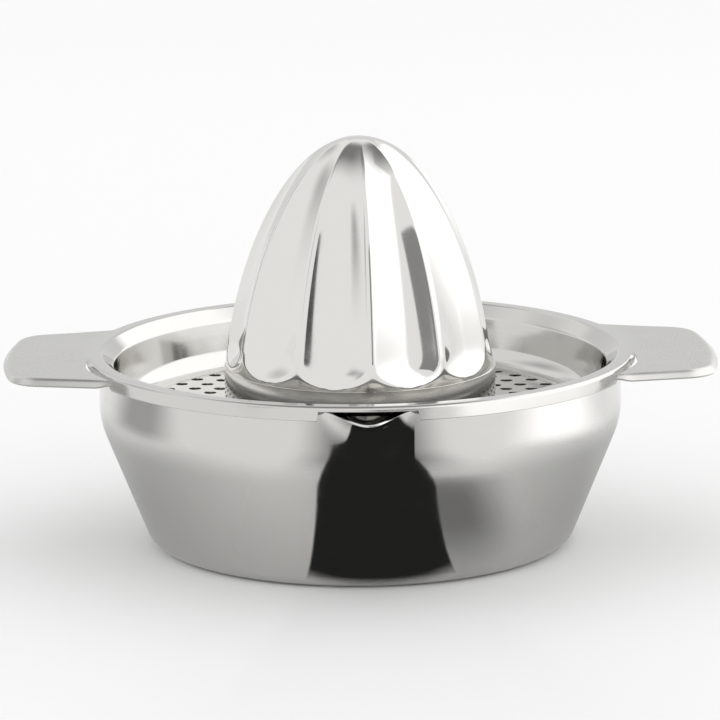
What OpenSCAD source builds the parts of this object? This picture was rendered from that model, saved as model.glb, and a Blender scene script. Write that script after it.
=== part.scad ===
// Citrus juicer in pressed stainless steel: a spouted bowl, and a lift-off top made of a strainer dish
// with a fluted reamer in its middle.
// Millimetres, +Z up. The origin is the centre of the bowl's flat base and the spout points along -Y.

/* [Sheet] */
// Thickness of the steel sheet
sheet = 0.6; // [0.4:0.1:1]

/* [Bowl] */
// Outer diameter of the upright collar
bowl_d = 124; // [110:1:150]
// Height of the collar's cut edge above the base
bowl_h = 44.5; // [36:0.5:60]
// Diameter where the cone would meet the base plane
base_d = 99.6; // [80:0.2:108]
// Height of the upright collar
collar_h = 14.2; // [12:0.2:20]
// Bend radius between collar and cone
knuckle_bend = 20; // [5:1:25]
// Bend radius between cone and base
base_bend = 5; // [2:0.5:8]

/* [Spout] */
// How far the lip stands out from the collar
spout_reach = 5.6; // [4:0.2:9]
// Width of the spout where it leaves the collar
spout_w = 22; // [20:0.5:28]
// How far down the wall the spout starts
spout_depth = 12.5; // [8:0.5:14]
// How far the lip dips below the collar's edge
lip_drop = 3.4; // [1:0.1:4]

/* [Rim] */
// Gap between the bowl's collar and the skirt's lower edge
skirt_gap = 3; // [2:0.1:4]
// Height of the turned-down skirt
skirt_h = 3.2; // [2.5:0.1:5]
// How far the skirt leans outwards over its height
skirt_lean = 0.9; // [0.8:0.1:2]
// Bend radius of the rim
rim_bend = 1.2; // [1:0.1:1.4]
// Height of the rim's underside above the collar's edge
rim_lift = 0.9; // [0.5:0.1:1.5]
// Clearance between the sloping ledge and the bowl's edge
seat_gap = 0.5; // [0.2:0.05:0.6]
// Clearance between the spout and each side of the skirt's notch
notch_gap = 3.4; // [0.6:0.1:4]
// How much wider the notch is at its bottom, each side
notch_flare = 0.9; // [0:0.1:1.5]
// Height of the strip of rim that is left above the notch
notch_strip = 1.1; // [0.8:0.1:1.2]

/* [Dish] */
// Gap between the dish wall and the bowl's collar
wall_gap = 2.4; // [2:0.1:5]
// Depth of the dish floor below the rim
dish_depth = 14; // [11:0.5:20]
// How much the dish wall draws in towards the floor
wall_draft = 2; // [0:0.1:2.5]
// Bend radius between wall and floor
floor_bend = 5; // [1.5:0.5:5.5]
// Height of the collar round the centre hole
hub_h = 10.2; // [8:0.2:14]
// Bend radius at the foot of that collar
hub_bend = 2; // [1:0.5:3]

/* [Drain holes] */
// Diameter of a drain hole
hole_d = 3; // [2:0.1:3.2]
// Holes in each ring
ring_holes = 50; // [36:2:56]
// Number of rings
ring_count = 3; // [1:1:3]
// Distance from ring to ring
ring_pitch = 5.5; // [4.5:0.1:5.8]
// Distance from the hub to the first ring
ring_margin = 7.3; // [5:0.1:8]

/* [Tabs] */
// Length of a tab beyond the rim
tab_len = 18.7; // [14:0.1:26]
// Width of a tab at the rim
tab_root_w = 57.4; // [48:0.2:62]
// Width of a tab at its end
tab_tip_w = 49.6; // [40:0.2:54]
// How far the middle of a tab lies in front of the axis
tab_shift = 3.6; // [0:0.2:6]
// Corner radius of a tab
tab_corner = 9; // [4:0.5:14]
// Height of the turned-down tab edge
tab_lip = 2.1; // [1.6:0.1:4]
// Width of the relief slit at the front of a tab's root
slit_w = 1; // [0.8:0.1:2.5]
// How far the slit's end lies in front of the axis
slit_stop = 7.1; // [4:0.1:15]

/* [Reamer] */
// Diameter over the ridges at the foot of the dome
dome_d = 63; // [54:0.5:68]
// Height of the dome above the foot of the flutes
dome_h = 54; // [40:0.5:64]
// Pointedness of the dome, 1 being an ellipse
dome_point = 1.29; // [1:0.01:1.5]
// Number of flutes
flutes = 11; // [8:1:14]
// Depth of a flute at the foot
flute_depth = 3; // [1.5:0.1:4]
// Height over which a flute runs out at the foot
flute_runout = 3.3; // [2:0.1:6]
// Turn of the first ridge from the spout towards +X
ridge_turn = 3.7; // [0:0.1:32]
// Height of plain foot that shows above the hub
foot_show = 0.8; // [0.4:0.1:2]
// Clearance between the reamer's foot and the hub
fit_gap = 0.1; // [0.05:0.05:0.2]

/* [Hidden] */
$fn = 128;
bend_steps = 6;
overlap = 1;

// Bowl
bowl_r = bowl_d / 2;
knuckle_z = bowl_h - collar_h;
spout_z = bowl_h - spout_depth;
spout_mouth_r = (pow(spout_w / 2, 2) + pow(spout_reach, 2)) / (2 * spout_reach);
spout_inside = spout_mouth_r - spout_reach;

// Rim, seat ledge and dish
rim_r = bowl_r + skirt_gap + sheet;
rim_z = bowl_h + rim_lift + sheet;
skirt_z = rim_z - skirt_h;
skirt_top_r = rim_r - skirt_lean;
skirt_turn = 90 - atan(skirt_lean / skirt_h);
bowl_inner_r = bowl_r - sheet;
ledge_top_r = bowl_inner_r - (seat_gap + sheet) * sqrt(2) + rim_z - bowl_h;
wall_r = bowl_inner_r - wall_gap - sheet;
ledge_z = rim_z - (ledge_top_r - wall_r);
floor_z = rim_z - dish_depth;
floor_r = wall_r - wall_draft;
hub_r = dome_d / 2 + fit_gap + sheet;
hub_z = floor_z + hub_h;
flange_end_r = skirt_top_r - rim_bend * tan(skirt_turn / 2);
flange_start_r = ledge_top_r + rim_bend * tan(22.5);
neck_r = (flange_start_r + flange_end_r) / 2;
notch_top_z = rim_z - notch_strip;
notch_half_w = sqrt(pow(spout_mouth_r, 2) - pow(spout_inside + skirt_gap, 2)) + notch_gap;

// Reamer
dome_r = dome_d / 2;
dome_z = hub_z + foot_show;
foot_z = floor_z + hub_bend;
flute_steps = 8;
dome_rings = 18;
ring_crowding = 1.5;
flute_fade = 1.2;

// Corner points of a sheet's outer face, each as [radius, height, bend radius]
bowl_path = [
    [0, 0, 0],
    [base_d / 2, 0, base_bend],
    [bowl_r, knuckle_z, knuckle_bend],
    [bowl_r, bowl_h, 0]
];
strainer_path = [
    [rim_r, skirt_z, 0],
    [skirt_top_r, rim_z, rim_bend],
    [ledge_top_r, rim_z, rim_bend],
    [wall_r, ledge_z, rim_bend],
    [floor_r, floor_z, floor_bend],
    [hub_r, floor_z, hub_bend],
    [hub_r, hub_z, 0]
];

function unit(v) = v / norm(v);
function left_of(v) = [-v[1], v[0]];
function reversed(list) = [for (i = [len(list) - 1:-1:0]) list[i]];
function flat(p) = [p[0], p[1]];

// Points of the arc that rounds one corner between its neighbours
function corner_arc(a, b, c, bend) =
    let (
        u = unit(a - b),
        v = unit(c - b),
        half = acos(u * v) / 2,
        reach = bend / tan(half),
        centre = b + unit(u + v) * bend / sin(half),
        from = b + u * reach - centre,
        to = b + v * reach - centre,
        sweep = acos(unit(from) * unit(to)),
        side = left_of(from) * to > 0 ? 1 : -1
    )
    [for (i = [0:bend_steps])
        let (t = side * sweep * i / bend_steps)
        centre + from * cos(t) + left_of(from) * sin(t)];

// A path of corner points with every bend drawn as an arc
function bent(path) =
    let (last = len(path) - 1)
    [for (i = [0:last])
        each (i == 0 || i == last || path[i][2] == 0
            ? [flat(path[i])]
            : corner_arc(flat(path[i - 1]), flat(path[i]), flat(path[i + 1]), path[i][2]))];

// The same line moved sideways, to its left
function moved(line, by) =
    let (last = len(line) - 1)
    [for (i = [0:last])
        let (
            before = i == 0 ? unit(line[1] - line[0]) : unit(line[i] - line[i - 1]),
            after = i == last ? before : unit(line[i + 1] - line[i]),
            normal = unit(left_of(before) + left_of(after))
        )
        line[i] + normal * by / (normal * left_of(after))];

// Cross-section of a pressed sheet whose outer face follows the path
module pressed(path) {
    line = bent(path);
    polygon(concat(line, reversed(moved(line, sheet))));
}

// Solid of revolution under a sheet's face, closed along the axis
module filled(line) {
    top = line[len(line) - 1];
    rotate_extrude()
        polygon(concat([[0, line[0][1]]], line, [[0, top[1]]]));
}

// Cone pinched out of the bowl's wall, drawn in by the given wall thickness
module spout(inset, rise) {
    slope = spout_reach / spout_depth;
    translate([0, -bowl_r + spout_inside, spout_z])
        cylinder(
            h = spout_depth + rise,
            r1 = spout_inside - inset,
            r2 = spout_mouth_r + slope * rise - inset
        );
}

// Everything above the dipping lip of the spout
module above_lip() {
    rotate([90, 0, -90])
        linear_extrude(2 * spout_w, center = true)
            polygon([
                [bowl_r, bowl_h],
                [bowl_r + 2 * spout_reach, bowl_h - 2 * lip_drop],
                [bowl_r + 2 * spout_reach, bowl_h + overlap],
                [bowl_r, bowl_h + overlap]
            ]);
}

module bowl() {
    outer = bent(bowl_path);
    inner = moved(outer, sheet);
    mouth = concat(inner, [[bowl_inner_r, bowl_h + overlap]]);
    color("silver")
        difference() {
            union() {
                filled(outer);
                spout(0, 0);
            }
            filled(mouth);
            spout(sheet, overlap);
            above_lip();
        }
}

// Plan of a tab along +X, drawn in by a wall thickness on its free edges
module tab_plan(inset) {
    end_x = rim_r + tab_len - inset;
    root_y = tab_root_w / 2;
    taper = atan((tab_root_w - tab_tip_w) / 2 / tab_len);
    bend = tab_corner - inset;
    centre_x = end_x - bend;
    centre_y = root_y - (centre_x - rim_r) * tan(taper) - (inset + bend) / cos(taper);
    touch = [centre_x + bend * sin(taper), centre_y + bend * cos(taper)];
    root_edge_y = touch[1] + touch[0] * tan(taper);
    translate([0, -tab_shift]) {
        polygon([
            [0, -root_edge_y],
            [touch[0], -touch[1]],
            [end_x, -centre_y],
            [end_x, centre_y],
            touch,
            [0, root_edge_y]
        ]);
        for (side = [-1, 1])
            translate([centre_x, side * centre_y])
                circle(bend);
    }
}

// Everything in front of the place where a tab's slit ends
module before_slit_end() {
    reach = 2 * rim_r;
    translate([0, -slit_stop - reach, 0])
        cube([reach, reach, reach]);
}

// Relief slit that frees the front half of a tab's root from the skirt
module slit() {
    intersection() {
        cylinder(h = 2 * rim_z, r = rim_r + slit_w);
        before_slit_end();
    }
}

// Everything inside the leaning skirt
module within_skirt() {
    translate([0, 0, skirt_z])
        cylinder(h = skirt_h, r1 = rim_r - sheet, r2 = skirt_top_r - sheet);
}

// Tab along +X: a plate that runs into the rim behind its slit, with turned-down edges
module tab() {
    difference() {
        translate([0, 0, rim_z - sheet])
            linear_extrude(sheet)
                tab_plan(0);
        cylinder(h = 2 * rim_z, r = neck_r);
        slit();
    }
    difference() {
        translate([0, 0, rim_z - tab_lip])
            linear_extrude(tab_lip)
                difference() {
                    tab_plan(0);
                    tab_plan(sheet);
                }
        within_skirt();
        slit();
    }
}

// Opening in the skirt where the spout passes
module notch() {
    top = notch_half_w;
    foot = top + notch_flare;
    difference() {
        rotate([90, 0, 0])
            linear_extrude(rim_r + overlap)
                polygon([
                    [-foot, skirt_z - overlap],
                    [foot, skirt_z - overlap],
                    [top, notch_top_z],
                    [-top, notch_top_z]
                ]);
        cylinder(h = 2 * rim_z, r = neck_r);
    }
}

// Opening in the skirt under a tab along +X, from the slit's end to the tab's back edge
module under_tab() {
    difference() {
        translate([0, 0, skirt_z - overlap])
            linear_extrude(skirt_h + overlap - sheet)
                tab_plan(sheet);
        cylinder(h = 2 * rim_z, r = neck_r);
        before_slit_end();
    }
}

module drain_holes() {
    pitch = 360 / ring_holes;
    for (ring = [0:ring_count - 1])
        for (i = [0:ring_holes - 1])
            rotate((i + (ring + 1) % 2 / 2) * pitch)
                translate([hub_r + ring_margin + ring * ring_pitch, 0, floor_z - sheet - overlap])
                    cylinder(h = sheet + 2 * overlap, d = hole_d, $fn = 24);
}

module strainer() {
    color("gainsboro")
        difference() {
            union() {
                difference() {
                    rotate_extrude()
                        pressed(strainer_path);
                    under_tab();
                    mirror([1, 0, 0])
                        under_tab();
                }
                tab();
                mirror([1, 0, 0])
                    tab();
            }
            notch();
            drain_holes();
        }
}

// Point of the dome's skin. u runs from -1 to 1 between two ridges, climb from 0 to 90 up the dome.
function skin(turn, u, climb, inset) =
    let (
        ridge_r = (dome_r - inset) * cos(climb),
        rise = (dome_h - inset) * pow(sin(climb), dome_point),
        depth = flute_depth * pow(cos(climb), flute_fade),
        ramp = depth * rise / flute_runout,
        cut = max(0, min(depth, ramp) - depth * u * u),
        r = ridge_r - cut
    )
    [r * cos(turn), r * sin(turn), dome_z + rise];

// Closed shell of the dome and its plain foot: outer rings from the foot up, then inner rings down
module reamer() {
    around = flutes * flute_steps;
    first = ridge_turn - 90;
    turns = [for (i = [0:around - 1]) first + 360 * i / around];
    us = [for (i = [0:around - 1]) 2 * (i % flute_steps) / flute_steps - 1];
    climbs = [for (k = [0:dome_rings - 1]) 90 * pow(k / dome_rings, ring_crowding)];
    outer_foot = [for (t = turns) [dome_r * cos(t), dome_r * sin(t), foot_z]];
    inner_r = dome_r - sheet;
    inner_foot = [for (t = turns) [inner_r * cos(t), inner_r * sin(t), foot_z]];
    outer = [for (c = climbs) each [for (i = [0:around - 1]) skin(turns[i], us[i], c, 0)]];
    inner = [for (c = reversed(climbs)) each [for (i = [0:around - 1]) skin(turns[i], us[i], c, sheet)]];
    tip = [0, 0, dome_z + dome_h];
    inner_tip = [0, 0, dome_z + dome_h - sheet];
    half = dome_rings + 1;
    tip_at = half * around;
    inner_tip_at = tip_at + 1;
    inner_from = tip_at + 2;
    points = concat(outer_foot, outer, [tip, inner_tip], inner, inner_foot);
    bands = concat(
        [for (k = [0:half - 2]) [k * around, (k + 1) * around]],
        [for (k = [0:half - 2]) [inner_from + k * around, inner_from + (k + 1) * around]],
        [[inner_from + (half - 1) * around, 0]]
    );
    sides = [for (band = bands) each [for (i = [0:around - 1])
        let (
            j = (i + 1) % around,
            a = band[0] + i,
            b = band[0] + j,
            c = band[1] + j,
            d = band[1] + i
        )
        each [[a, d, c], [a, c, b]]]];
    last_outer = (half - 1) * around;
    caps = [for (i = [0:around - 1])
        let (j = (i + 1) % around)
        each [
            [last_outer + i, tip_at, last_outer + j],
            [inner_from + i, inner_from + j, inner_tip_at]
        ]];
    color("whitesmoke")
        polyhedron(points, concat(sides, caps));
}

bowl();
strainer();
reamer();
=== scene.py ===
"""Looks of a citrus juicer in pressed stainless steel: bowl, strainer with finger tabs, fluted reamer.

Metres, +Z up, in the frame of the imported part. The spout points along -Y.
"""
import math

import bpy
from mathutils import Matrix, Quaternion, Vector


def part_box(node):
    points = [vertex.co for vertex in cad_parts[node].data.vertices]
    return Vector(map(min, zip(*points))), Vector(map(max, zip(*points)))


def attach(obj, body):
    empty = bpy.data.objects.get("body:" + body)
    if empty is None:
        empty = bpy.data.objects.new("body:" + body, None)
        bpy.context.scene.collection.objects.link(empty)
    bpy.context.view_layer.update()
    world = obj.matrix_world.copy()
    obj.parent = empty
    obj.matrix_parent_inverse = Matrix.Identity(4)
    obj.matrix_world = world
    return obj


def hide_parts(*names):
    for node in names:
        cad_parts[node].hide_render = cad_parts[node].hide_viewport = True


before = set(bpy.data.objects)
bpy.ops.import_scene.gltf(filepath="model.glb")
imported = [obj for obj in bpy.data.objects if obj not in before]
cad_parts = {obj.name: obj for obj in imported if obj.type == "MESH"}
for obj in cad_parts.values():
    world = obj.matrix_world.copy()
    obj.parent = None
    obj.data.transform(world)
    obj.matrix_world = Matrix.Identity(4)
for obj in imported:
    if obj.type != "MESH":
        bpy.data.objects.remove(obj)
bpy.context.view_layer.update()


# Bowl
# The lower half is one deep-drawn pressing of stainless sheet: a flat base, a leaning wall, a soft knuckle
# and an upright collar with a cut edge. The spout is pinched out of the collar. The outside is polished.
MM = 0.001
sheet = 0.6 * MM
edge_round = 0.12 * MM
edge_limit = math.radians(50)
smooth_limit = math.radians(40)
merge_gap = 0.02 * MM

bowl_low, bowl_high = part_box("bowl")
bowl_r = bowl_high.x
bowl_h = bowl_high.z
base_r = 49.8 * MM
base_bend = 5 * MM
base_flat_r = 40 * MM
collar_h = 14.2 * MM
knuckle_bend = 20 * MM
bowl_segments = 360
wall_pitch = 1.2 * MM
below_bowl = Vector((0, 0, -1))

spout_reach = -bowl_low.y - bowl_r
spout_half_w = 11.5 * MM
spout_depth = 12.5 * MM
spout_foot_share = 0.5
spout_bow = 2.7
lip_drop = 2.85 * MM


def bent(corners, turn_step=math.radians(5), fewest_steps=3):
    """A profile through corners given as (radius, height, bend radius), with every bend drawn as an arc."""
    points = [Vector(corner[:2]) for corner in corners]
    line = [points[0]]
    for i in range(1, len(points) - 1):
        corner, bend = points[i], corners[i][2]
        back = (points[i - 1] - corner).normalized()
        onward = (points[i + 1] - corner).normalized()
        half = back.angle(onward) / 2
        reach = bend / math.tan(half)
        centre = corner + (back + onward).normalized() * bend / math.sin(half)
        start = corner + back * reach - centre
        end = corner + onward * reach - centre
        turn = math.atan2(start.cross(end), start.dot(end))
        steps = max(fewest_steps, round(abs(turn) / turn_step))
        line += [centre + Matrix.Rotation(turn * k / steps, 2) @ start for k in range(steps + 1)]
    return line + [points[-1]]


def finer(line, pitch):
    """The same line with no step longer than the pitch."""
    steps = [line[0]]
    for here, there in zip(line, line[1:]):
        count = max(1, math.ceil((there - here).length / pitch))
        steps += [here.lerp(there, k / count) for k in range(1, count + 1)]
    return steps


def spun(name, line, segments):
    """A sheet turned about the axis: a ring at the line's start, drawn out along the line ring by ring."""
    bpy.ops.object.select_all(action="DESELECT")
    bpy.ops.mesh.primitive_circle_add(vertices=segments, radius=line[0].x, location=(0, 0, line[0].y))
    piece = bpy.context.object
    piece.name = piece.data.name = name
    bpy.ops.object.transform_apply(location=True)
    bpy.ops.object.mode_set(mode="EDIT")
    bpy.ops.mesh.select_all(action="SELECT")
    for here, there in zip(line, line[1:]):
        grow = there.x / here.x
        bpy.ops.mesh.extrude_edges_move(TRANSFORM_OT_translate={"value": (0, 0, there.y - here.y)})
        bpy.ops.transform.resize(value=(grow, grow, 1), center_override=(0, 0, 0))
    bpy.ops.object.mode_set(mode="OBJECT")
    return piece


def choose_vertices(piece, test):
    """Goes into edit mode with just the vertices selected that pass the test."""
    if bpy.context.mode != "OBJECT":
        bpy.ops.object.mode_set(mode="OBJECT")
    bpy.ops.object.select_all(action="DESELECT")
    bpy.context.view_layer.objects.active = piece
    piece.select_set(True)
    bpy.ops.object.mode_set(mode="EDIT")
    bpy.ops.mesh.select_mode(type="VERT")
    bpy.ops.mesh.select_all(action="DESELECT")
    bpy.ops.object.mode_set(mode="OBJECT")
    for vertex in piece.data.vertices:
        vertex.select = test(vertex.co)
    bpy.ops.object.mode_set(mode="EDIT")


def apply_modifier(piece, kind, **settings):
    """Adds a modifier with its settings and applies it."""
    bpy.ops.object.select_all(action="DESELECT")
    bpy.context.view_layer.objects.active = piece
    piece.select_set(True)
    modifier = piece.modifiers.new(kind.lower(), kind)
    for name, value in settings.items():
        setattr(modifier, name, value)
    bpy.ops.object.modifier_apply(modifier=modifier.name)


def outward_normals(piece, outside):
    """Merges doubles and turns every face outwards: the face nearest to a point outside looks at it."""
    choose_vertices(piece, lambda point: True)
    bpy.ops.mesh.remove_doubles(threshold=merge_gap)
    bpy.ops.mesh.normals_make_consistent(inside=False)
    bpy.ops.object.mode_set(mode="OBJECT")
    nearest = min(piece.data.polygons, key=lambda face: (face.center - outside).length)
    if nearest.normal.dot(outside - nearest.center) < 0:
        choose_vertices(piece, lambda point: True)
        bpy.ops.mesh.flip_normals()
        bpy.ops.object.mode_set(mode="OBJECT")


def made_of_sheet(piece, outside):
    """Turns a drawn surface into sheet metal, with its thickness on the inside."""
    outward_normals(piece, outside)
    apply_modifier(piece, "SOLIDIFY", thickness=sheet, offset=-1, use_even_offset=True)


def broken_edges(piece):
    """Rounds a sheet's cut edges as far as its smallest edge allows, and shades its bends smooth."""
    apply_modifier(
        piece, "BEVEL", width=edge_round, segments=2, limit_method="ANGLE",
        angle_limit=edge_limit, use_clamp_overlap=True,
    )
    bpy.ops.object.shade_smooth_by_angle(angle=smooth_limit)
    apply_modifier(piece, "WEIGHTED_NORMAL", keep_sharp=True)


def spout_pull(point):
    """How far the spout has drawn a point of the collar outwards and down."""
    if point.y > 0 or point.z < bowl_h - spout_depth:
        return Vector()
    up = 1 - (bowl_h - point.z) / spout_depth
    half_w = spout_half_w * (spout_foot_share + (1 - spout_foot_share) * up)
    across = min(1, abs(point.x) / half_w)
    pull = math.cos(math.pi / 2 * across) ** 2 * up ** spout_bow
    return Vector((0, -spout_reach * pull, -lip_drop * pull))


bowl_line = bent([
    (base_flat_r, 0, 0),
    (base_r, 0, base_bend),
    (bowl_r, bowl_h - collar_h, knuckle_bend),
    (bowl_r, bowl_h, 0),
])
bowl = spun("bowl_shell", finer(bowl_line, wall_pitch), bowl_segments)
choose_vertices(bowl, lambda point: math.hypot(point.x, point.y) < base_flat_r + wall_pitch / 2)
bpy.ops.mesh.edge_face_add()
bpy.ops.object.mode_set(mode="OBJECT")
for vertex in bowl.data.vertices:
    vertex.co += spout_pull(vertex.co)
made_of_sheet(bowl, below_bowl)
broken_edges(bowl)


def linear(code):
    """An sRGB hex colour as linear RGBA."""
    parts = [int(code[i:i + 2], 16) / 255 for i in (1, 3, 5)]
    return [c / 12.92 if c <= 0.04045 else ((c + 0.055) / 1.055) ** 2.4 for c in parts] + [1]


def add(tree, kind, links, **settings):
    """Adds a node to the tree with its settings, and with its inputs linked or set."""
    made = tree.nodes.new(kind)
    for name, value in settings.items():
        setattr(made, name, value)
    for socket, source in links.items():
        if isinstance(source, bpy.types.NodeSocket):
            tree.links.new(source, made.inputs[socket])
        else:
            made.inputs[socket].default_value = source
    return made


def new_material(name):
    """An empty material, with its node tree and its output node."""
    made = bpy.data.materials.new(name)
    made.use_nodes = True
    made.node_tree.nodes.clear()
    return made, made.node_tree, made.node_tree.nodes.new("ShaderNodeOutputMaterial")


# Drawn stainless steel, polished on a lathe: a bright mirror with rings of fine polishing lines about the
# axis, a slight waviness left by the press, and wiped smears that dull it here and there. Finger tabs are
# left satin. Real polishing lines are finer than 0.1 mm, so they are drawn coarser here, to show at all.
def polished_steel(name, colour, smooth, dull, line_depth, wave_depth, tab_satin=0.0):
    made, tree, output = new_material(name)
    line_pitch = 0.35 * MM
    line_low, line_high = 0.3, 0.7
    line_rough = 0.02
    wave_size = 14 * MM
    smear_size = 22 * MM
    smear_low, smear_high = 0.35, 0.7
    tab_starts = 62.5 * MM
    tab_satin_from = 67 * MM
    place = add(tree, "ShaderNodeTexCoord", {}).outputs["Object"]
    apart = add(tree, "ShaderNodeSeparateXYZ", {"Vector": place}).outputs
    flat = add(tree, "ShaderNodeCombineXYZ", {"X": apart["X"], "Y": apart["Y"]}).outputs[0]
    radius = add(tree, "ShaderNodeVectorMath", {0: flat}, operation="LENGTH").outputs["Value"]
    rings = add(tree, "ShaderNodeCombineXYZ", {"X": radius, "Y": apart["Z"]}).outputs[0]
    lines = add(tree, "ShaderNodeTexNoise", {"Vector": rings, "Scale": 1 / line_pitch, "Detail": 3.0})
    waves = add(tree, "ShaderNodeTexNoise", {"Vector": place, "Scale": 1 / wave_size, "Detail": 1.0})
    smears = add(tree, "ShaderNodeTexNoise", {
        "Vector": place, "Scale": 1 / smear_size, "Detail": 4.0, "Roughness": 0.6, "Distortion": 0.8,
    })
    rough = add(tree, "ShaderNodeMapRange", {
        "Value": smears.outputs["Fac"], "From Min": smear_low, "From Max": smear_high,
        "To Min": smooth, "To Max": dull,
    })
    fine = add(tree, "ShaderNodeMapRange", {
        "Value": lines.outputs["Fac"], "From Min": line_low, "From Max": line_high,
        "To Min": -line_rough, "To Max": line_rough,
    })
    satin = add(tree, "ShaderNodeMapRange", {
        "Value": radius, "From Min": tab_starts, "From Max": tab_satin_from,
        "To Min": 0.0, "To Max": tab_satin,
    })
    lined_rough = add(tree, "ShaderNodeMath", {0: rough.outputs[0], 1: fine.outputs[0]})
    roughness = add(
        tree, "ShaderNodeMath", {0: lined_rough.outputs[0], 1: satin.outputs[0]}, use_clamp=True)
    wavy = add(tree, "ShaderNodeBump", {"Height": waves.outputs["Fac"], "Distance": wave_depth})
    lined = add(tree, "ShaderNodeBump", {
        "Height": lines.outputs["Fac"], "Distance": line_depth, "Normal": wavy.outputs[0],
    })
    steel = add(tree, "ShaderNodeBsdfPrincipled", {
        "Base Color": linear(colour), "Metallic": 1.0, "Roughness": roughness.outputs[0],
        "Normal": lined.outputs[0],
    })
    tree.links.new(steel.outputs[0], output.inputs["Surface"])
    return made


bowl.data.materials.append(polished_steel(
    "Polished stainless steel, bowl", "#d6d5d2",
    smooth=0.06, dull=0.12, line_depth=0.0008 * MM, wave_depth=0.02 * MM,
))
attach(bowl, "bowl")
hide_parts("bowl")


# Strainer
# The dish is a second pressing: a perforated floor, a slightly leaning wall, a ledge that seats on the
# bowl's edge, and a rounded rim with a turned-down skirt that is notched for the spout. The finger tabs are
# the same sheet, and a slit at the front of each root frees that part of the tab from the rim.
top_low, top_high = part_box("strainer")
rim_r = top_high.y
rim_z = top_high.z
rim_bend = 1.2 * MM
skirt_h = 3.2 * MM
skirt_lean = 0.9 * MM
skirt_round = 0.4 * MM
skirt_round_steps = 3
skirt_slack = 0.01 * MM
ledge_top_r = 61.34 * MM
wall_top_r = 58.4 * MM
floor_z = top_low.z + sheet
floor_r = 56.4 * MM
floor_bend = 5 * MM
hub_r = 32.2 * MM
hub_h = 10.2 * MM
hub_bend = 2 * MM
dish_segments = 400
dish_pitch = 4 * MM
above_top = Vector((0, 0, 1))

tab_end = top_high.x
tab_root_half = 28.7 * MM
tab_tip_half = 24.8 * MM
tab_shift = 3.6 * MM
tab_corner = 9 * MM
tab_bow_r = 110 * MM
lip_bend = 2.4 * MM
lip_turn = math.radians(45)
lip_flat = 1.2 * MM
lip_fade = 4 * MM
lip_end_share = 0.5
lip_holds = 0.3
slit_w = 2.3 * MM
slit_run = 14 * MM
slit_skirt = 1.2 * MM
slit_steps = 7
root_steps = 27
neck_inset = 0.5 * MM
fold_run = 9 * MM
least_fold = 1e-4
skirt_starts = 27 * MM
skirt_corner = 3 * MM
hole_r = 1.5 * MM
hole_sides = 24
hole_rings = 3
ring_holes = 50
ring_pitch = 5.5 * MM
first_ring_r = 39.5 * MM
punch_depth = 4 * sheet
notch_half_w = 11.3 * MM
notch_flare = 0.9 * MM
notch_strip = 1.1 * MM
notch_back = 62 * MM
notch_depth = 2 * skirt_h


def ease(value, low, high):
    """Goes smoothly from 0 at low to 1 at high."""
    t = min(1, max(0, (value - low) / (high - low)))
    return t * t * (3 - 2 * t)


skirt_top_r = rim_r - skirt_lean
skirt_turn = math.atan(skirt_h / skirt_lean)
bend_reach = rim_bend * math.tan(skirt_turn / 2)
flange_r = skirt_top_r - bend_reach
bend_z = rim_z - rim_bend
bend_end_z = bend_z + rim_bend * math.cos(skirt_turn)
bend_len = rim_bend * skirt_turn
skirt_flat = math.hypot(skirt_lean, skirt_h) - bend_reach
flange_len = bend_len + skirt_flat
bend_step = math.radians(9)
flange_rows = round(skirt_turn / bend_step)
pitch = 2 * math.pi / dish_segments
slit_turn = -slit_steps * pitch
root_turn = root_steps * pitch
neck_r = rim_r - neck_inset
neck_half = -rim_r * math.sin(slit_turn)


def polar(reach, turn):
    """A point in plan at a distance from the axis and a turn from +X."""
    return Vector((reach * math.cos(turn), reach * math.sin(turn)))


def turned_edge(row, bend, turn, flat):
    """How far out and down a row of a turned-down edge lies: bent through the turn, then straight."""
    part = turn * min(row, flange_rows) / flange_rows
    rest = flat if row > flange_rows else 0
    return Vector((
        bend * math.sin(part) + rest * math.cos(turn),
        bend * (1 - math.cos(part)) + rest * math.sin(turn),
    ))


def flange_point(point):
    """Where a point of the skirt lies in front of a tab: flat at the slit's end, folded down further on."""
    turn = math.atan2(point.y, point.x)
    if point.z > bend_end_z:
        along = rim_bend * math.acos(min(1, (point.z - bend_z) / rim_bend))
    else:
        along = bend_len + (bend_end_z - point.z) / math.sin(skirt_turn)
    fold = ease(-point.y, neck_half, neck_half + fold_run)
    beside_slit = neck_r - flange_r + slit_skirt * fold
    full = ease(-point.y, skirt_starts, skirt_starts + skirt_corner)
    along *= (beside_slit + (flange_len - beside_slit) * full) / flange_len
    bend_angle = max(least_fold, fold * skirt_turn)
    bend_r = bend_len / bend_angle
    bent_part = min(along, bend_len) / bend_r
    straight = max(0, along - bend_len)
    reach = flange_r + bend_r * math.sin(bent_part) + straight * math.cos(bend_angle)
    drop = bend_r * (1 - math.cos(bent_part)) + straight * math.sin(bend_angle)
    return polar(reach, turn).to_3d() + Vector((0, 0, rim_z - drop))


def on_skirt(point):
    """Whether a point lies past the flat of the rim, on its bend or its skirt."""
    return math.hypot(point.x, point.y) > flange_r + skirt_slack


def under_tab(point):
    """Whether a point of the skirt lies where a tab runs into the rim."""
    turn = math.atan2(point.y, abs(point.x))
    return on_skirt(point) and slit_turn + pitch / 2 < turn < root_turn - pitch / 2


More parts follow.
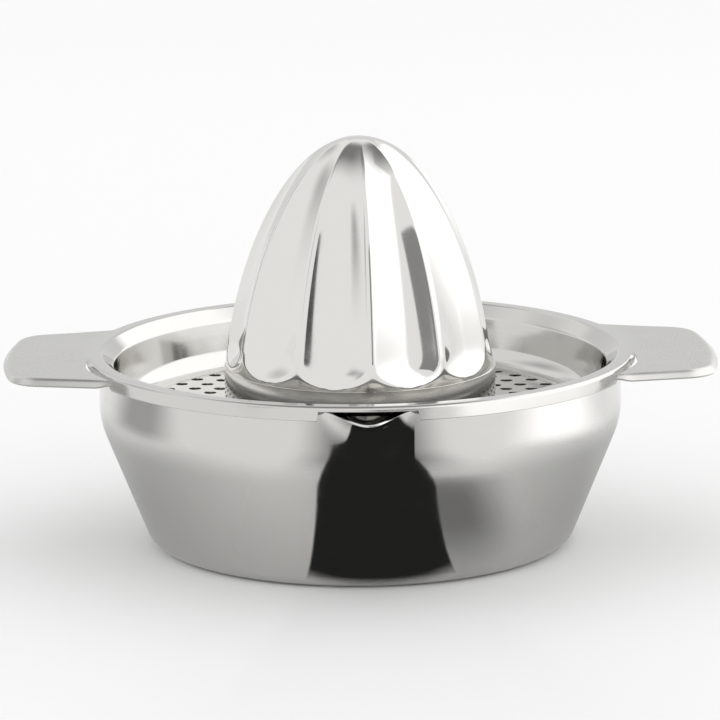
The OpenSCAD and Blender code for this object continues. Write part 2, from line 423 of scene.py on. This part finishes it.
dish_line = bent([
    (hub_r, floor_z + hub_h, 0),
    (hub_r, floor_z, hub_bend),
    (floor_r, floor_z, floor_bend),
    (wall_top_r, rim_z - (ledge_top_r - wall_top_r), rim_bend),
    (ledge_top_r, rim_z, rim_bend),
    (skirt_top_r, rim_z, rim_bend),
    (rim_r, rim_z - skirt_h, 0),
], bend_step)
strainer = spun("strainer_dish", finer(dish_line, dish_pitch), dish_segments)
for vertex in strainer.data.vertices:
    if on_skirt(vertex.co) and -skirt_starts - skirt_corner < vertex.co.y < 0:
        vertex.co = flange_point(vertex.co)
choose_vertices(strainer, under_tab)
bpy.ops.mesh.delete(type="VERT")
bpy.ops.object.mode_set(mode="OBJECT")

# A tab's outline in plan, from the slit along the front edge, round the end and back to the rim. Each step
# holds a point, the outward direction there, how much of the edge is tab rather than rim, and how far it is
# along the front edge. A few rounds find the corner circle that touches both the side and the bowed end.
taper = math.atan((tab_root_half - tab_tip_half) / (tab_end - rim_r))
slit_r = neck_r + slit_w
back_out = Vector((math.sin(taper), math.cos(taper)))
front_out = Vector((math.sin(taper), -math.cos(taper)))
rim_out = polar(1, root_turn)
back_at_rim = Vector((rim_r, tab_root_half - tab_shift))
front_at_rim = Vector((rim_r, -tab_root_half - tab_shift))
nook_r = (rim_out * rim_r - back_at_rim).dot(back_out) / (1 - rim_out.dot(back_out))
nook = rim_out * (rim_r + nook_r)
corner_x = tab_end - tab_corner
corner_rounds = 4
for _ in range(corner_rounds):
    corner_y = tab_root_half - (corner_x - rim_r) * math.tan(taper) - tab_corner / math.cos(taper)
    corner_x = tab_end - tab_bow_r + math.sqrt((tab_bow_r - tab_corner) ** 2 - corner_y ** 2)
back_corner = Vector((corner_x, corner_y - tab_shift))
front_corner = Vector((corner_x, -corner_y - tab_shift))
bow_centre = Vector((tab_end - tab_bow_r, -tab_shift))
bow_turn = math.asin(corner_y / (tab_bow_r - tab_corner))
end_turn = math.pi / 2 - taper
front_end = front_corner + front_out * tab_corner
along_front = (front_end - front_at_rim).normalized()
to_slit = front_at_rim.dot(along_front)
past_slit = math.sqrt(to_slit ** 2 - front_at_rim.length_squared + slit_r ** 2)
front_root = front_at_rim + along_front * (past_slit - to_slit)
back_end = back_corner + back_out * tab_corner
back_root = nook - back_out * nook_r
side_steps = 14
turn_steps = 12
end_steps = 16
nook_steps = 6
outline = []
for k in range(side_steps):
    way = k / side_steps
    outline.append((front_root.lerp(front_end, way), front_out, 1, way))
for k in range(turn_steps):
    out = polar(1, -end_turn + (end_turn - bow_turn) * k / turn_steps)
    outline.append((front_corner + out * tab_corner, out, 1, 1))
for k in range(end_steps):
    out = polar(1, bow_turn * (2 * k / end_steps - 1))
    outline.append((bow_centre + out * tab_bow_r, out, 1, 1))
for k in range(turn_steps):
    out = polar(1, bow_turn + (end_turn - bow_turn) * k / turn_steps)
    outline.append((back_corner + out * tab_corner, out, 1, 1))
for k in range(side_steps):
    way = k / side_steps
    outline.append((back_end.lerp(back_root, way), back_out, 1 - ease(way, lip_holds, 1), 1))
for k in range(nook_steps + 1):
    out = polar(1, end_turn + (root_turn - end_turn) * k / nook_steps)
    outline.append((nook - out * nook_r, out, 0, 1))

lip_end = turned_edge(flange_rows + 1, lip_bend, lip_turn, lip_flat)
skirt_end = turned_edge(flange_rows + 1, rim_bend, skirt_turn, skirt_flat)


def edge_point(step, row):
    """A point of a tab's turned-down edge, at a step of its outline and a row of its bend."""
    place, out, share, way = outline[step]
    lip = turned_edge(row, lip_bend, lip_turn, lip_flat)
    skirt = turned_edge(row, rim_bend, skirt_turn, skirt_flat)
    lies = skirt.lerp(lip, share)
    offset = out * (lies.x - skirt_end.lerp(lip_end, share).x)
    flat = place + offset
    if way < 1:
        start = front_root + offset
        flat.x += (1 - way) * (math.sqrt(slit_r ** 2 - start.y ** 2) - start.x)
        run = (front_end - front_root).length * way
        lies.y *= lip_end_share + (1 - lip_end_share) * ease(run, 0, lip_fade)
    return flat.to_3d() + Vector((0, 0, rim_z - lies.y))


def laid_grid(name, columns, rows, place):
    """A grid whose points go where place(across, along) says, with both running from 0 to 1."""
    bpy.ops.object.select_all(action="DESELECT")
    bpy.ops.mesh.primitive_grid_add(x_subdivisions=columns, y_subdivisions=rows, size=2)
    made = bpy.context.object
    made.name = made.data.name = name
    for vertex in made.data.vertices:
        vertex.co = place((vertex.co.x + 1) / 2, (vertex.co.y + 1) / 2)
    return made


def tab_edge(name):
    """The turned-down edge of the right-hand tab."""
    steps = len(outline) - 1
    rows = flange_rows + 1
    return laid_grid(
        name, steps, rows, lambda across, along: edge_point(round(across * steps), round(along * rows)))


def slit_side(turn):
    """A point of the tab's side of the slit."""
    opening = ease(-rim_r * math.sin(turn), neck_half, neck_half + slit_run)
    return polar(neck_r + slit_w * opening, turn).to_3d() + Vector((0, 0, rim_z))


def tab_plate(name):
    """The flat of the right-hand tab, from the rim to the start of its turned-down edge."""
    at_rim = Vector((0, 0, rim_z))
    root = [polar(flange_r, k * pitch).to_3d() + at_rim for k in range(root_steps, -slit_steps - 1, -1)]
    skirt = [turned_edge(row, rim_bend, skirt_turn, skirt_flat) for row in range(1, flange_rows + 2)]
    slit_end = [
        flange_point(Vector((*polar(flange_r + lies.x, slit_turn), rim_z - lies.y)))
        for lies in skirt
    ]
    edge = [edge_point(step, 0) for step in range(len(outline) - 1)]
    front_turn = math.atan2(edge[0].y, edge[0].x)
    cuts = round((slit_turn - front_turn) / pitch)
    side = [slit_side(slit_turn + (front_turn - slit_turn) * k / cuts) for k in range(1, cuts)]
    places = root + slit_end + side + edge
    bpy.ops.object.select_all(action="DESELECT")
    bpy.ops.mesh.primitive_circle_add(vertices=len(places), radius=rim_r, fill_type="NGON")
    plate = bpy.context.object
    plate.name = plate.data.name = name
    for vertex, place in zip(plate.data.vertices, places):
        vertex.co = place
    return plate


def mirrored_copy(piece, name):
    """A copy with its own mesh, mirrored to the other side of the juicer."""
    copy = piece.copy()
    copy.data = piece.data.copy()
    copy.name = copy.data.name = name
    copy.data.transform(Matrix.Scale(-1, 4, (1, 0, 0)))
    bpy.context.scene.collection.objects.link(copy)
    return copy


def join_to(piece, others):
    """Joins the others into the piece."""
    bpy.ops.object.select_all(action="DESELECT")
    for other in others:
        other.select_set(True)
    piece.select_set(True)
    bpy.context.view_layer.objects.active = piece
    bpy.ops.object.join()


plate = tab_plate("tab_plate")
edge = tab_edge("tab_edge")
join_to(strainer, [plate, edge, mirrored_copy(plate, "left_plate"), mirrored_copy(edge, "left_edge")])
made_of_sheet(strainer, above_top)

# The outer corner of the skirt's lower edge is rounded, which draws a thin dark line under the rim.
lower_edge = strainer.vertex_groups.new(name="lower_edge")
for vertex in strainer.data.vertices:
    at_skirt_end = vertex.co.z < rim_z - skirt_h + edge_round
    if at_skirt_end and math.hypot(vertex.co.x, vertex.co.y) > rim_r - edge_round:
        lower_edge.add([vertex.index], 1, "REPLACE")
apply_modifier(
    strainer, "BEVEL", width=skirt_round, segments=skirt_round_steps, limit_method="VGROUP",
    vertex_group="lower_edge",
)
strainer.vertex_groups.clear()


def cut_away(piece, cutter):
    """Takes the cutter's shape out of the piece, and the cutter out of the scene."""
    apply_modifier(piece, "BOOLEAN", object=cutter, operation="DIFFERENCE", solver="EXACT")
    bpy.data.objects.remove(cutter)


def ring_of_holes(name, radius, first_turn):
    """The punches of one ring of drain holes: one drawn, then spun round the axis."""
    place = (*polar(radius, first_turn), floor_z)
    bpy.ops.object.select_all(action="DESELECT")
    bpy.ops.mesh.primitive_cylinder_add(
        vertices=hole_sides, radius=hole_r, depth=punch_depth, location=place)
    punch = bpy.context.object
    punch.name = punch.data.name = name
    bpy.ops.object.transform_apply(location=True)
    bpy.ops.object.mode_set(mode="EDIT")
    bpy.ops.mesh.select_all(action="SELECT")
    bpy.ops.mesh.spin(
        steps=ring_holes - 1, dupli=True, angle=2 * math.pi * (ring_holes - 1) / ring_holes,
        center=(0, 0, 0), axis=(0, 0, 1),
    )
    bpy.ops.object.mode_set(mode="OBJECT")
    return punch


half_pitch = math.pi / ring_holes
punches = [
    ring_of_holes(f"punch_{ring}", first_ring_r + ring * ring_pitch, (ring + 1) % 2 * half_pitch)
    for ring in range(hole_rings)
]
for punch in punches:
    cut_away(strainer, punch)

bpy.ops.object.select_all(action="DESELECT")
bpy.ops.mesh.primitive_cube_add(size=1)
notch = bpy.context.object
notch.name = "notch_cutter"
for vertex in notch.data.vertices:
    top = vertex.co.z > 0
    half_w = notch_half_w if top else notch_half_w + notch_flare
    vertex.co = Vector((
        math.copysign(half_w, vertex.co.x),
        -notch_back if vertex.co.y > 0 else -rim_r - rim_bend,
        rim_z - (notch_strip if top else notch_depth),
    ))
cut_away(strainer, notch)
broken_edges(strainer)

strainer.data.materials.append(polished_steel(
    "Polished stainless steel, strainer", "#cfcecb",
    smooth=0.08, dull=0.15, line_depth=0.0008 * MM, wave_depth=0.01 * MM, tab_satin=0.16,
))
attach(strainer, "top")
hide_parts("strainer")


# Reamer
# A dome drawn from the same sheet and pressed into concave flutes, polished to a mirror. Its plain foot is
# pushed into the strainer's collar and joined there for good.
dome_low, dome_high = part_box("reamer")
tip_z = dome_high.z
foot_z = dome_low.z
dome_r = 31.5 * MM
dome_z = 43 * MM
dome_h = tip_z - dome_z
dome_point = 1.29
flutes = 11
flute_depth = 3 * MM
flute_fade = 1.2
flute_runout = 3.3 * MM
ridge_turn = math.radians(3.7 - 90)
ridge_share = 0.13
ridge_smooth = math.radians(60)
edge_soft = 0.6 * MM
soft_up_to = 2 * MM
crisp_from = 7 * MM
runout_soft = 1.6 * MM
steps_per_flute = 32
foot_rows = 12
dome_rows = 100
row_crowding = 1.5


def soft_least(a, b, soft):
    """The smaller of two lengths, with the corner between them rounded off."""
    return (a + b - math.hypot(a - b, soft)) / 2


def ridge_rise(u):
    """Height of a flute's cross-section: 0 in its middle, highest on the rounded ridges at u = 1 and -1."""
    inner = 1 - ridge_share
    if abs(u) < inner:
        return u * u
    return inner - inner / ridge_share * (1 - abs(u)) ** 2


def dome_skin(around, up):
    """A point of the reamer: around from 0 to 1 about the axis, up from 0 at the foot to 1 at the tip."""
    step = around * flutes
    part = 2 * (step % 1) - 1
    u = math.sin(math.pi / 2 * part)
    turn = ridge_turn + 2 * math.pi * (math.floor(step) + (u + 1) / 2) / flutes
    row = up * (foot_rows + dome_rows) - foot_rows
    if row < 0:
        climb = 0
        rise = (dome_z - foot_z) * row / foot_rows
    else:
        climb = math.pi / 2 * (row / dome_rows) ** row_crowding
        rise = dome_h * math.sin(climb) ** dome_point
    depth = flute_depth * max(0, math.cos(climb)) ** flute_fade
    floor_of_flute = soft_least(depth, depth * rise / flute_runout, runout_soft)
    below = floor_of_flute - depth * ridge_rise(u)
    soft = edge_soft * (1 - ease(rise, soft_up_to, crisp_from))
    cut = (below + math.hypot(below, soft)) / 2
    reach = max(0, dome_r * math.cos(climb) - cut + ridge_share * depth)
    return Vector((reach * math.cos(turn), reach * math.sin(turn), dome_z + rise))


reamer = laid_grid("reamer_dome", flutes * steps_per_flute, foot_rows + dome_rows, dome_skin)
made_of_sheet(reamer, above_top)
bpy.ops.object.shade_smooth_by_angle(angle=ridge_smooth)
reamer.data.materials.append(polished_steel(
    "Mirror-polished stainless steel, reamer", "#dfdedb",
    smooth=0.05, dull=0.1, line_depth=0.0004 * MM, wave_depth=0.01 * MM,
))
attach(reamer, "top")
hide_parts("reamer")


# Studio
# A plain white table in a white surround, soft lights with fading edges, and the black and grey boards that
# give polished steel its dark reflections. The camera stands at the photograph's angle and sees only the
# juicer and the table, because the boards show in reflections alone.
scene = bpy.context.scene
scene.view_settings.view_transform = "Standard"

table_r = 6
table_sides = 96
table_z = -0.2 * MM
bpy.ops.object.select_all(action="DESELECT")
bpy.ops.mesh.primitive_circle_add(
    vertices=table_sides, radius=table_r, fill_type="NGON", location=(0, 0, table_z))
table = bpy.context.object
table.name = "table"
paint, tree, output = new_material("Matt white paint, table")
matt = add(tree, "ShaderNodeBsdfPrincipled", {"Base Color": linear("#fbfbfb"), "Roughness": 0.7})
tree.links.new(matt.outputs[0], output.inputs["Surface"])
table.data.materials.append(paint)

world = bpy.data.worlds.new("White studio")
scene.world = world
world.use_nodes = True
world.node_tree.nodes.clear()
white = add(world.node_tree, "ShaderNodeBackground", {"Color": linear("#ffffff"), "Strength": 1.0})
add(world.node_tree, "ShaderNodeOutputWorld", {"Surface": white.outputs[0]})

reamer_eye = Vector((0, 0, 65 * MM))
card_z = 0.2 * MM
board_cells = 8


def board(name, corners, radiance, fade):
    """A soft-edged board or light cloth through four corners, which only the reflections show."""
    near_left, near_right, far_right, far_left = corners

    def between(across, along):
        return near_left.lerp(near_right, across).lerp(far_left.lerp(far_right, across), along)

    made = laid_grid(name, board_cells, board_cells, between)
    paper, tree, output = new_material(name)
    place = add(tree, "ShaderNodeTexCoord", {}).outputs["UV"]
    apart = add(tree, "ShaderNodeSeparateXYZ", {"Vector": place}).outputs
    sides = []
    for axis in ("X", "Y"):
        centred = add(tree, "ShaderNodeMath", {0: apart[axis], 1: 0.5}, operation="SUBTRACT")
        away = add(tree, "ShaderNodeMath", {0: centred.outputs[0]}, operation="ABSOLUTE")
        sides.append(add(tree, "ShaderNodeMapRange", {
            "Value": away.outputs[0], "From Min": 0.5 - fade / 2, "From Max": 0.5,
            "To Min": 1.0, "To Max": 0.0,
        }, interpolation_type="SMOOTHSTEP").outputs[0])
    cover = add(tree, "ShaderNodeMath", {0: sides[0], 1: sides[1]}, operation="MULTIPLY")
    glow = add(tree, "ShaderNodeEmission", {"Color": linear("#ffffff"), "Strength": radiance})
    clear = add(tree, "ShaderNodeBsdfTransparent", {})
    both = add(tree, "ShaderNodeMixShader", {
        0: cover.outputs[0], 1: clear.outputs[0], 2: glow.outputs[0],
    })
    tree.links.new(both.outputs[0], output.inputs["Surface"])
    made.data.materials.append(paper)
    made.visible_camera = False
    made.visible_shadow = False
    made.visible_diffuse = False


def upright(name, corners, distance, radiance, fade):
    """A board by how the reamer sees it: each corner's turn from the front to the right, and its rise."""
    places = []
    for turn, rise in corners:
        turn = math.radians(turn)
        height = distance * math.tan(math.radians(rise))
        places.append(reamer_eye + Vector((distance * math.sin(turn), -distance * math.cos(turn), height)))
    board(name, places, radiance, fade)


def box_corners(sides, ends):
    """The corners of a rectangle, from its left and right sides and its near and far ends."""
    (left, right), (near, far) = sides, ends
    return [(left, near), (right, near), (right, far), (left, far)]


def lying(name, corners, height, radiance, fade):
    """A board that lies on the table, with its corners in millimetres."""
    board(name, [Vector((x * MM, y * MM, height)) for x, y in corners], radiance, fade)


def standing(name, x, across, up, radiance, fade):
    """A small card that stands beside the spout, across the X axis, with its sides in millimetres."""
    board(name, [Vector((x, y, z)) * MM for y, z in box_corners(across, up)], radiance, fade)


upright("right_cloth", box_corners((36, 100), (-3, 66)), distance=1.2, radiance=1.6, fade=0.22)
upright("back_right_cloth", box_corners((90, 158), (-3, 66)), distance=1.2, radiance=1.6, fade=0.22)
upright("back_board", box_corners((150, 215), (-3, 30)), distance=1.1, radiance=0.8, fade=0.25)
upright("left_strip", box_corners((-54, -40), (8, 50)), distance=1.1, radiance=0.55, fade=0.9)
upright("back_left_strip", box_corners((-142, -98), (3, 48)), distance=1.1, radiance=0.6, fade=1.0)
upright("slim_board", box_corners((2.5, 10.5), (3, 37)), distance=0.9, radiance=0.1, fade=0.12)
upright("front_board", [(12, 3), (20, 3), (31, 36), (12, 39)], distance=0.9, radiance=0.3, fade=0.12)
ceiling_z = 1.5
ceiling = box_corners((-1.1, 1.1), (-0.65, 1.55))
board("ceiling_board", [Vector((x, y, ceiling_z)) for x, y in ceiling], radiance=0.25, fade=0.8)
# A grey board round the juicer's foot, which only the steel shows: painted shade of the table near the
# bowl.
lying("painted_table_shade", box_corners((-170, 170), (-100, 170)), height=card_z, radiance=0.4, fade=0.8)
lying("left_shade", box_corners((-320, -110), (-60, 130)), height=2 * card_z, radiance=0.45, fade=0.8)
lying("right_shine", box_corners((120, 340), (-140, 90)), height=2 * card_z, radiance=1.6, fade=0.8)
lying("front_shade", [(-40, -44), (60, -40), (180, -330), (-160, -330)],
      height=2 * card_z, radiance=0.15, fade=0.8)
lying("near_shade", [(2, -44), (52, -30), (66, -62), (10, -110)],
      height=2.5 * card_z, radiance=0.2, fade=0.9)
lying("floor_flag", [(-15, -48), (22, -46), (88, -300), (-66, -300)],
      height=3 * card_z, radiance=0.02, fade=0.04)
standing("right_card", x=10.5, across=(-60.5, -76), up=(6, 41), radiance=0.02, fade=0.1)
standing("left_card", x=-8, across=(-58, -74), up=(6, 34), radiance=0.02, fade=0.1)

aim = Vector((0, 0, 43.12 * MM))
camera_distance = 1.15
camera_azimuth = math.radians(-1.6)
camera_elevation = math.radians(11.96)
camera_roll = math.radians(-0.406)
camera = bpy.data.objects.new("camera", bpy.data.cameras.new("camera"))
camera.data.lens = 242
camera.data.sensor_width = 36
camera.data.clip_start = 0.05
camera.data.clip_end = 30
back = Vector((
    math.sin(camera_azimuth) * math.cos(camera_elevation),
    -math.cos(camera_azimuth) * math.cos(camera_elevation),
    math.sin(camera_elevation),
))
camera.location = aim + back * camera_distance
camera.rotation_mode = "QUATERNION"
camera.rotation_quaternion = (-back).to_track_quat("-Z", "Y") @ Quaternion((0, 0, 1), camera_roll)
scene.collection.objects.link(camera)
scene.camera = camera
